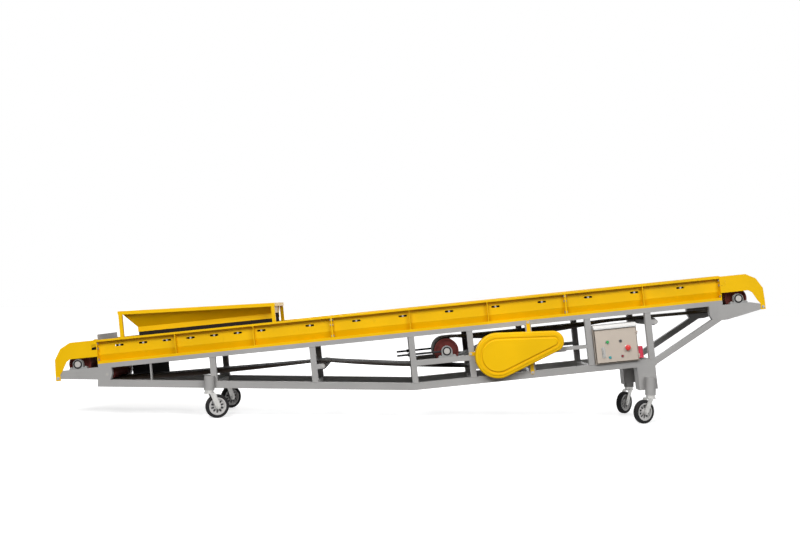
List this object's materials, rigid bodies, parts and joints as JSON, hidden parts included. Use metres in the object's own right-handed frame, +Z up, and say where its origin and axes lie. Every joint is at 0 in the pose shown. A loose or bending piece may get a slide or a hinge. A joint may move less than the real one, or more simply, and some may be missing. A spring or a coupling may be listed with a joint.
{
  "type": "mobile belt conveyor",
  "caption": "Inclined yellow belt conveyor on swivel casters, with a loading hopper at the low end, a covered belt drive under the deck and a control box.",
  "frame": {"origin": "On the floor, midway along the conveyor, on the belt's middle plane", "axes": "+X from the loading tail to the raised head, +Z up, -Y the side with the control box"},
  "size_m": [6.0625, 0.9902, 1.2787],
  "materials": {
    "beam_yellow": "satin",
    "frame_grey": "satin",
    "roller_steel": "satin",
    "drum_oxide": "matte",
    "bearing_cast": "satin",
    "screw_black": "satin",
    "belt_rubber": "matte",
    "motor_blue": "satin",
    "box_beige": "satin",
    "hood_white": "satin",
    "control_plastic": "satin",
    "inlet_red": "satin",
    "caster_zinc": "satin",
    "caster_rim": "satin",
    "caster_tyre": "matte"
  },
  "bodies": {
    "conveyor": {"side_beams_tail": "beam_yellow", "side_beams_mid": "beam_yellow", "side_beams_head": "beam_yellow", "tail_guards": "beam_yellow", "head_guards": "beam_yellow", "hopper_rim": "beam_yellow", "hopper_posts": "beam_yellow", "hopper_sheets": "beam_yellow", "drive_cover": "beam_yellow", "top_rails": "frame_grey", "posts": "frame_grey", "tail_chords": "frame_grey", "head_chords": "frame_grey", "mid_rails": "frame_grey", "cross_tubes": "frame_grey", "head_braces": "frame_grey", "leg_plates": "frame_grey", "tail_leg_tubes": "frame_grey", "head_leg_tubes": "frame_grey", "motor_base": "frame_grey", "tail_tie_bars": "frame_grey", "head_brackets": "frame_grey", "tail_brackets": "frame_grey", "tail_back_plate": "frame_grey", "return_roller_bars": "frame_grey", "carry_rollers": "roller_steel", "bend_roller": "roller_steel", "snub_roller": "roller_steel", "tail_drum": "drum_oxide", "head_drum": "drum_oxide", "takeup_drum": "drum_oxide", "drive_drum": "drum_oxide", "tail_snub_roller": "drum_oxide", "pillow_blocks": "bearing_cast", "takeup_screws": "screw_black", "tail_panel": "screw_black", "belt": "belt_rubber", "hopper_rubber": "belt_rubber", "motor": "motor_blue", "control_box": "box_beige", "box_hood": "hood_white", "power_inlet": "inlet_red"},
    "box_door": {"control_box_door": "box_beige", "door_controls": "control_plastic"},
    "near_tail_caster": {"near_tail_fork": "caster_zinc"},
    "near_tail_wheel": {"near_tail_rim": "caster_rim", "near_tail_tyre": "caster_tyre"},
    "far_tail_caster": {"far_tail_fork": "caster_zinc"},
    "far_tail_wheel": {"far_tail_rim": "caster_rim", "far_tail_tyre": "caster_tyre"},
    "near_head_caster": {"near_head_fork": "caster_zinc"},
    "near_head_wheel": {"near_head_rim": "caster_rim", "near_head_tyre": "caster_tyre"},
    "far_head_caster": {"far_head_fork": "caster_zinc"},
    "far_head_wheel": {"far_head_rim": "caster_rim", "far_head_tyre": "caster_tyre"}
  },
  "joints": [
    {"name": "box_door_hinge", "type": "hinge", "parent": "conveyor", "child": "box_door", "pos_m": [1.92796, -0.388, 0.67975], "axis": [-0.1132, 0, 0.9936], "range_deg": [0, 110]},
    {"name": "near_tail_swivel", "type": "hinge", "parent": "conveyor", "child": "near_tail_caster", "pos_m": [-1.709, -0.385, 0.24], "axis": [0, 0, 1], "continuous": true},
    {"name": "near_tail_spin", "type": "hinge", "parent": "near_tail_caster", "child": "near_tail_wheel", "pos_m": [-1.64375, -0.35457, 0.1], "axis": [-0.4226, 0.9063, 0], "continuous": true},
    {"name": "far_tail_swivel", "type": "hinge", "parent": "conveyor", "child": "far_tail_caster", "pos_m": [-1.709, 0.385, 0.24], "axis": [0, 0, 1], "continuous": true},
    {"name": "far_tail_spin", "type": "hinge", "parent": "far_tail_caster", "child": "far_tail_wheel", "pos_m": [-1.65385, 0.43128, 0.1], "axis": [-0.6428, 0.766, 0], "continuous": true},
    {"name": "near_head_swivel", "type": "hinge", "parent": "conveyor", "child": "near_head_caster", "pos_m": [2.03802, -0.385, 0.24], "axis": [0, 0, 1], "continuous": true},
    {"name": "near_head_spin", "type": "hinge", "parent": "near_head_caster", "child": "near_head_wheel", "pos_m": [1.97387, -0.41769, 0.1], "axis": [0.454, -0.891, 0], "continuous": true},
    {"name": "far_head_swivel", "type": "hinge", "parent": "conveyor", "child": "far_head_caster", "pos_m": [2.03802, 0.385, 0.24], "axis": [0, 0, 1], "continuous": true},
    {"name": "far_head_spin", "type": "hinge", "parent": "far_head_caster", "child": "far_head_wheel", "pos_m": [1.98451, 0.33682, 0.1], "axis": [0.6691, -0.7431, 0], "continuous": true}
  ]
}
